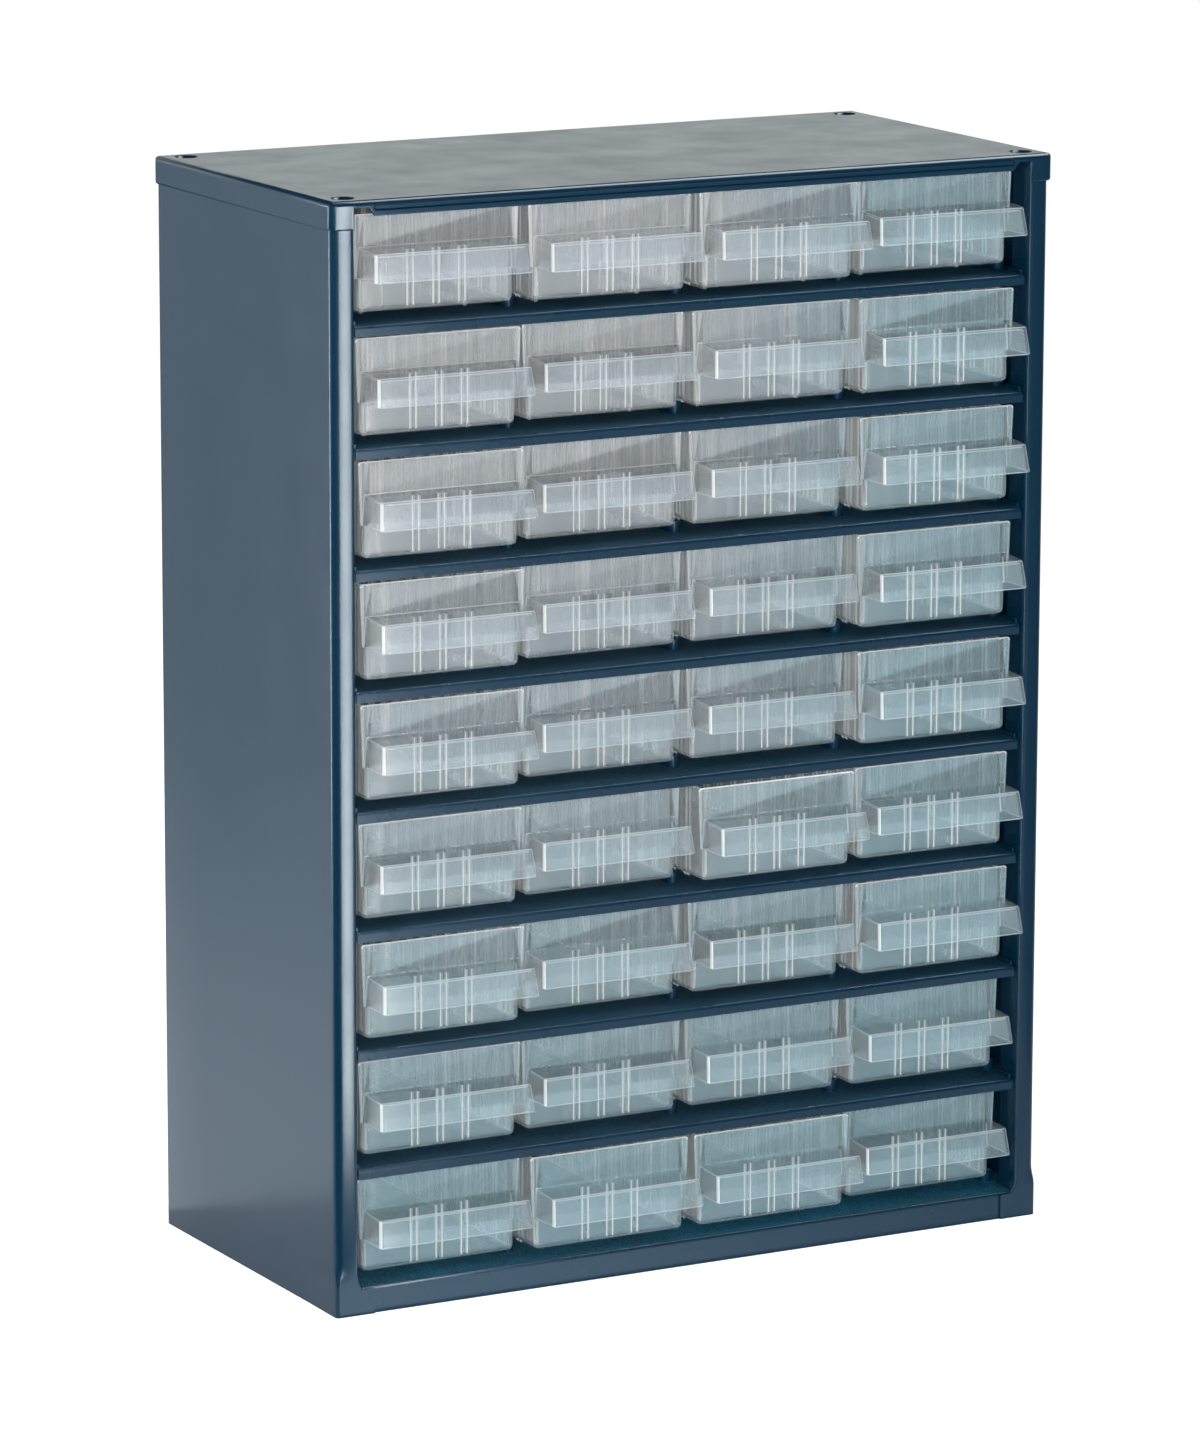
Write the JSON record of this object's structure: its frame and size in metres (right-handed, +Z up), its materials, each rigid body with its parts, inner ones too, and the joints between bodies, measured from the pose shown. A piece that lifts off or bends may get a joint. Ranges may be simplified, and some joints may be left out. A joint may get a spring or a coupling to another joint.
{
  "type": "parts bin cabinet",
  "caption": "Small painted steel cabinet with rows of clear plastic drawers that pull out from shelves, for sorting screws and other small parts.",
  "frame": {"origin": "on the surface the cabinet stands on, at the centre of its footprint with the handles counted in", "axes": "+Z up along the height, X across the width, -Y the way the drawers pull out"},
  "size_m": [0.306, 0.1644, 0.417],
  "materials": {
    "case": "satin, fine grain",
    "drawers": "clear, slightly frosted",
    "rivets": "satin"
  },
  "bodies": {
    "case": {"top_cover": "case", "left_side_panel": "case", "right_side_panel": "case", "back_panel": "case", "base_pan": "case", "back_rivets": "rivets", "cover_rivets": "rivets", "shelf_1": "case", "shelf_2": "case", "shelf_3": "case", "shelf_4": "case", "shelf_5": "case", "shelf_6": "case", "shelf_7": "case", "shelf_8": "case"},
    "drawer_row1_1_body": {"drawer_row1_1": "drawers"},
    "drawer_row1_2_body": {"drawer_row1_2": "drawers"},
    "drawer_row1_3_body": {"drawer_row1_3": "drawers"},
    "drawer_row1_4_body": {"drawer_row1_4": "drawers"},
    "drawer_row2_1_body": {"drawer_row2_1": "drawers"},
    "drawer_row2_2_body": {"drawer_row2_2": "drawers"},
    "drawer_row2_3_body": {"drawer_row2_3": "drawers"},
    "drawer_row2_4_body": {"drawer_row2_4": "drawers"},
    "drawer_row3_1_body": {"drawer_row3_1": "drawers"},
    "drawer_row3_2_body": {"drawer_row3_2": "drawers"},
    "drawer_row3_3_body": {"drawer_row3_3": "drawers"},
    "drawer_row3_4_body": {"drawer_row3_4": "drawers"},
    "drawer_row4_1_body": {"drawer_row4_1": "drawers"},
    "drawer_row4_2_body": {"drawer_row4_2": "drawers"},
    "drawer_row4_3_body": {"drawer_row4_3": "drawers"},
    "drawer_row4_4_body": {"drawer_row4_4": "drawers"},
    "drawer_row5_1_body": {"drawer_row5_1": "drawers"},
    "drawer_row5_2_body": {"drawer_row5_2": "drawers"},
    "drawer_row5_3_body": {"drawer_row5_3": "drawers"},
    "drawer_row5_4_body": {"drawer_row5_4": "drawers"},
    "drawer_row6_1_body": {"drawer_row6_1": "drawers"},
    "drawer_row6_2_body": {"drawer_row6_2": "drawers"},
    "drawer_row6_3_body": {"drawer_row6_3": "drawers"},
    "drawer_row6_4_body": {"drawer_row6_4": "drawers"},
    "drawer_row7_1_body": {"drawer_row7_1": "drawers"},
    "drawer_row7_2_body": {"drawer_row7_2": "drawers"},
    "drawer_row7_3_body": {"drawer_row7_3": "drawers"},
    "drawer_row7_4_body": {"drawer_row7_4": "drawers"},
    "drawer_row8_1_body": {"drawer_row8_1": "drawers"},
    "drawer_row8_2_body": {"drawer_row8_2": "drawers"},
    "drawer_row8_3_body": {"drawer_row8_3": "drawers"},
    "drawer_row8_4_body": {"drawer_row8_4": "drawers"},
    "drawer_row9_1_body": {"drawer_row9_1": "drawers"},
    "drawer_row9_2_body": {"drawer_row9_2": "drawers"},
    "drawer_row9_3_body": {"drawer_row9_3": "drawers"},
    "drawer_row9_4_body": {"drawer_row9_4": "drawers"}
  },
  "joints": [
    {"name": "drawer_row1_1_slide", "type": "slide", "parent": "case", "child": "drawer_row1_1_body", "axis": [0, -1, 0], "range_m": [-0.0035, 0.108]},
    {"name": "drawer_row1_2_slide", "type": "slide", "parent": "case", "child": "drawer_row1_2_body", "axis": [0, -1, 0], "range_m": [-0.0065, 0.105]},
    {"name": "drawer_row1_3_slide", "type": "slide", "parent": "case", "child": "drawer_row1_3_body", "axis": [0, -1, 0], "range_m": [-0.0085, 0.103]},
    {"name": "drawer_row1_4_slide", "type": "slide", "parent": "case", "child": "drawer_row1_4_body", "axis": [0, -1, 0], "range_m": [-0.0035, 0.108]},
    {"name": "drawer_row2_1_slide", "type": "slide", "parent": "case", "child": "drawer_row2_1_body", "axis": [0, -1, 0], "range_m": [-0.0055, 0.106]},
    {"name": "drawer_row2_2_slide", "type": "slide", "parent": "case", "child": "drawer_row2_2_body", "axis": [0, -1, 0], "range_m": [-0.0015, 0.11]},
    {"name": "drawer_row2_3_slide", "type": "slide", "parent": "case", "child": "drawer_row2_3_body", "axis": [0, -1, 0], "range_m": [-0.0035, 0.108]},
    {"name": "drawer_row2_4_slide", "type": "slide", "parent": "case", "child": "drawer_row2_4_body", "axis": [0, -1, 0], "range_m": [-0.0065, 0.105]},
    {"name": "drawer_row3_1_slide", "type": "slide", "parent": "case", "child": "drawer_row3_1_body", "axis": [0, -1, 0], "range_m": [-0.0075, 0.104]},
    {"name": "drawer_row3_2_slide", "type": "slide", "parent": "case", "child": "drawer_row3_2_body", "axis": [0, -1, 0], "range_m": [-0.0005, 0.111]},
    {"name": "drawer_row3_3_slide", "type": "slide", "parent": "case", "child": "drawer_row3_3_body", "axis": [0, -1, 0], "range_m": [-0.0015, 0.11]},
    {"name": "drawer_row3_4_slide", "type": "slide", "parent": "case", "child": "drawer_row3_4_body", "axis": [0, -1, 0], "range_m": [-0.0075, 0.104]},
    {"name": "drawer_row4_1_slide", "type": "slide", "parent": "case", "child": "drawer_row4_1_body", "axis": [0, -1, 0], "range_m": [-0.0085, 0.103]},
    {"name": "drawer_row4_2_slide", "type": "slide", "parent": "case", "child": "drawer_row4_2_body", "axis": [0, -1, 0], "range_m": [-0.0005, 0.111]},
    {"name": "drawer_row4_3_slide", "type": "slide", "parent": "case", "child": "drawer_row4_3_body", "axis": [0, -1, 0], "range_m": [-0.0005, 0.111]},
    {"name": "drawer_row4_4_slide", "type": "slide", "parent": "case", "child": "drawer_row4_4_body", "axis": [0, -1, 0], "range_m": [-0.0065, 0.105]},
    {"name": "drawer_row5_1_slide", "type": "slide", "parent": "case", "child": "drawer_row5_1_body", "axis": [0, -1, 0], "range_m": [-0.0085, 0.103]},
    {"name": "drawer_row5_2_slide", "type": "slide", "parent": "case", "child": "drawer_row5_2_body", "axis": [0, -1, 0], "range_m": [-0.0005, 0.111]},
    {"name": "drawer_row5_3_slide", "type": "slide", "parent": "case", "child": "drawer_row5_3_body", "axis": [0, -1, 0], "range_m": [-0.0005, 0.111]},
    {"name": "drawer_row5_4_slide", "type": "slide", "parent": "case", "child": "drawer_row5_4_body", "axis": [0, -1, 0], "range_m": [-0.0075, 0.104]},
    {"name": "drawer_row6_1_slide", "type": "slide", "parent": "case", "child": "drawer_row6_1_body", "axis": [0, -1, 0], "range_m": [-0.0065, 0.105]},
    {"name": "drawer_row6_2_slide", "type": "slide", "parent": "case", "child": "drawer_row6_2_body", "axis": [0, -1, 0], "range_m": [-0.0005, 0.111]},
    {"name": "drawer_row6_3_slide", "type": "slide", "parent": "case", "child": "drawer_row6_3_body", "axis": [0, -1, 0], "range_m": [-0.0105, 0.101]},
    {"name": "drawer_row6_4_slide", "type": "slide", "parent": "case", "child": "drawer_row6_4_body", "axis": [0, -1, 0], "range_m": [-0.0065, 0.105]},
    {"name": "drawer_row7_1_slide", "type": "slide", "parent": "case", "child": "drawer_row7_1_body", "axis": [0, -1, 0], "range_m": [-0.0085, 0.103]},
    {"name": "drawer_row7_2_slide", "type": "slide", "parent": "case", "child": "drawer_row7_2_body", "axis": [0, -1, 0], "range_m": [-0.0005, 0.111]},
    {"name": "drawer_row7_3_slide", "type": "slide", "parent": "case", "child": "drawer_row7_3_body", "axis": [0, -1, 0], "range_m": [-0.0025, 0.109]},
    {"name": "drawer_row7_4_slide", "type": "slide", "parent": "case", "child": "drawer_row7_4_body", "axis": [0, -1, 0], "range_m": [-0.0075, 0.104]},
    {"name": "drawer_row8_1_slide", "type": "slide", "parent": "case", "child": "drawer_row8_1_body", "axis": [0, -1, 0], "range_m": [-0.0055, 0.106]},
    {"name": "drawer_row8_2_slide", "type": "slide", "parent": "case", "child": "drawer_row8_2_body", "axis": [0, -1, 0], "range_m": [-0.0015, 0.11]},
    {"name": "drawer_row8_3_slide", "type": "slide", "parent": "case", "child": "drawer_row8_3_body", "axis": [0, -1, 0], "range_m": [-0.0005, 0.111]},
    {"name": "drawer_row8_4_slide", "type": "slide", "parent": "case", "child": "drawer_row8_4_body", "axis": [0, -1, 0], "range_m": [-0.0015, 0.11]},
    {"name": "drawer_row9_1_slide", "type": "slide", "parent": "case", "child": "drawer_row9_1_body", "axis": [0, -1, 0], "range_m": [-0.0045, 0.107]},
    {"name": "drawer_row9_2_slide", "type": "slide", "parent": "case", "child": "drawer_row9_2_body", "axis": [0, -1, 0], "range_m": [-0.0085, 0.103]},
    {"name": "drawer_row9_3_slide", "type": "slide", "parent": "case", "child": "drawer_row9_3_body", "axis": [0, -1, 0], "range_m": [-0.0085, 0.103]},
    {"name": "drawer_row9_4_slide", "type": "slide", "parent": "case", "child": "drawer_row9_4_body", "axis": [0, -1, 0], "range_m": [-0.0005, 0.111]}
  ]
}
